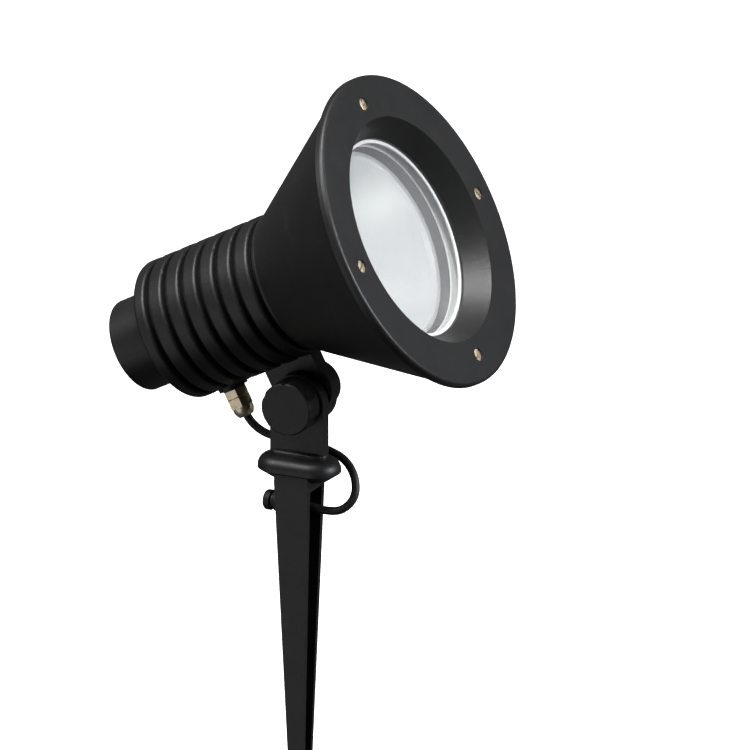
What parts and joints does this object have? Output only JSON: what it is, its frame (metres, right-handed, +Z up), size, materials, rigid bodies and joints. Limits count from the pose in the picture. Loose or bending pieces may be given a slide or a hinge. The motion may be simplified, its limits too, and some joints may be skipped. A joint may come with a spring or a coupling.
{
  "type": "light projector stake",
  "caption": "Garden spotlight on a ground spike: cast conical lamp head with a ribbed barrel, tilting on the spike's ear and locked by a knob, with a short cord.",
  "frame": {"origin": "on the spike's axis at the ground line, which is the underside of the collar", "axes": "+Z up along the spike, +X the way the lamp aims, the tilt axis along Y, the knob on the -Y side"},
  "size_m": [0.2517, 0.2, 0.5486],
  "materials": {
    "black_casting": "satin black powder coat on cast aluminium",
    "screw_brass": "dull, weathered",
    "gland_brass": "nickel-poor brass, satin",
    "cap_brass": "bright",
    "spring_steel": "zinc plated",
    "black_rubber": "matte",
    "white_silicone": "translucent white, satin",
    "cord_rubber": "matte black sheath",
    "washer_plastic": "fibre-filled",
    "knob_plastic": "satin black",
    "clear_glass": "clear toughened",
    "lens_glass": "clear pressed",
    "reflector_glass": "aluminised, slightly satin",
    "white_ceramic": "unglazed",
    "black_ceramic": "glazed",
    "core_plastic": "plain",
    "live_plastic": "brown",
    "neutral_plastic": "blue",
    "earth_plastic": "green and yellow"
  },
  "bodies": {
    "spike": {"ground_spike": "black_casting", "knob_washer": "washer_plastic", "cord_grommet": "black_rubber", "supply_cord": "cord_rubber", "cord_end_cap": "black_rubber"},
    "head": {"lamp_housing": "black_casting", "front_ring": "black_casting", "ring_screws": "screw_brass", "ring_gasket": "black_rubber", "front_glass": "clear_glass", "glass_seal": "white_silicone", "glass_retainer": "spring_steel", "lamp_bowl": "reflector_glass", "lamp_lens": "lens_glass", "lamp_capsule": "lens_glass", "capsule_leads": "spring_steel", "lamp_cap": "cap_brass", "lamp_cap_insulator": "black_ceramic", "lamp_contact_tip": "cap_brass", "holder_body": "white_ceramic", "holder_screw_shell": "cap_brass", "holder_contact": "cap_brass", "holder_bracket": "spring_steel", "bracket_screws": "spring_steel", "holder_screws": "spring_steel", "terminal_block": "white_ceramic", "terminal_screws": "cap_brass", "cord_cores": "core_plastic", "live_wire": "live_plastic", "neutral_wire": "neutral_plastic", "earth_wire": "earth_plastic", "earth_screw": "cap_brass", "earth_tag": "cap_brass", "gland_body": "gland_brass", "gland_nut": "gland_brass", "gland_seal": "black_rubber", "gland_ring_seal": "black_rubber", "cord_in_gland": "cord_rubber", "pivot_bolt": "spring_steel", "friction_washer": "washer_plastic"},
    "knob": {"tilt_knob": "knob_plastic", "knob_insert": "cap_brass"}
  },
  "joints": [
    {"name": "head_tilt", "type": "hinge", "parent": "spike", "child": "head", "pos_m": [0, 0, 0.049], "axis": [0, -1, 0], "range_deg": [-35, 20], "deforming": ["supply_cord"]},
    {"name": "knob_turn", "type": "hinge", "parent": "spike", "child": "knob", "pos_m": [0, 0, 0.049], "axis": [0, 1, 0], "continuous": true}
  ]
}
